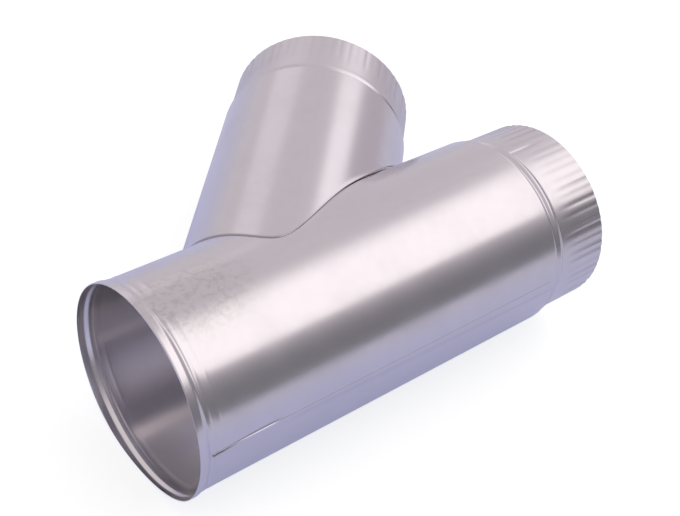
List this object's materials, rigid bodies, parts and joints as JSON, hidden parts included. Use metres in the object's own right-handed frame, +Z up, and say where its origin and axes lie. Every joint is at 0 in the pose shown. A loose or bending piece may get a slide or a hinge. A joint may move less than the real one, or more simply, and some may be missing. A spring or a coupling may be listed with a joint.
{
  "type": "lateral wye fitting",
  "caption": "Lateral wye for round duct: a straight barrel with a belled socket and a beaded, crimped spigot, and an equal branch leaning 45 degrees towards the spigot.",
  "frame": {"origin": "centre of the socket's mouth, on the barrel's axis", "axes": "+X along the barrel from the socket to the crimped spigot, the branch leaves towards +Y and leans towards +X, +Z up as the fitting lies on a table"},
  "size_m": [0.379, 0.322, 0.1564],
  "materials": {
    "galvanised_sheet": "satin mill finish, fine rolling grain, soft broad highlights"
  },
  "bodies": {
    "root": {"barrel": "galvanised_sheet", "branch": "galvanised_sheet"}
  },
  "joints": []
}
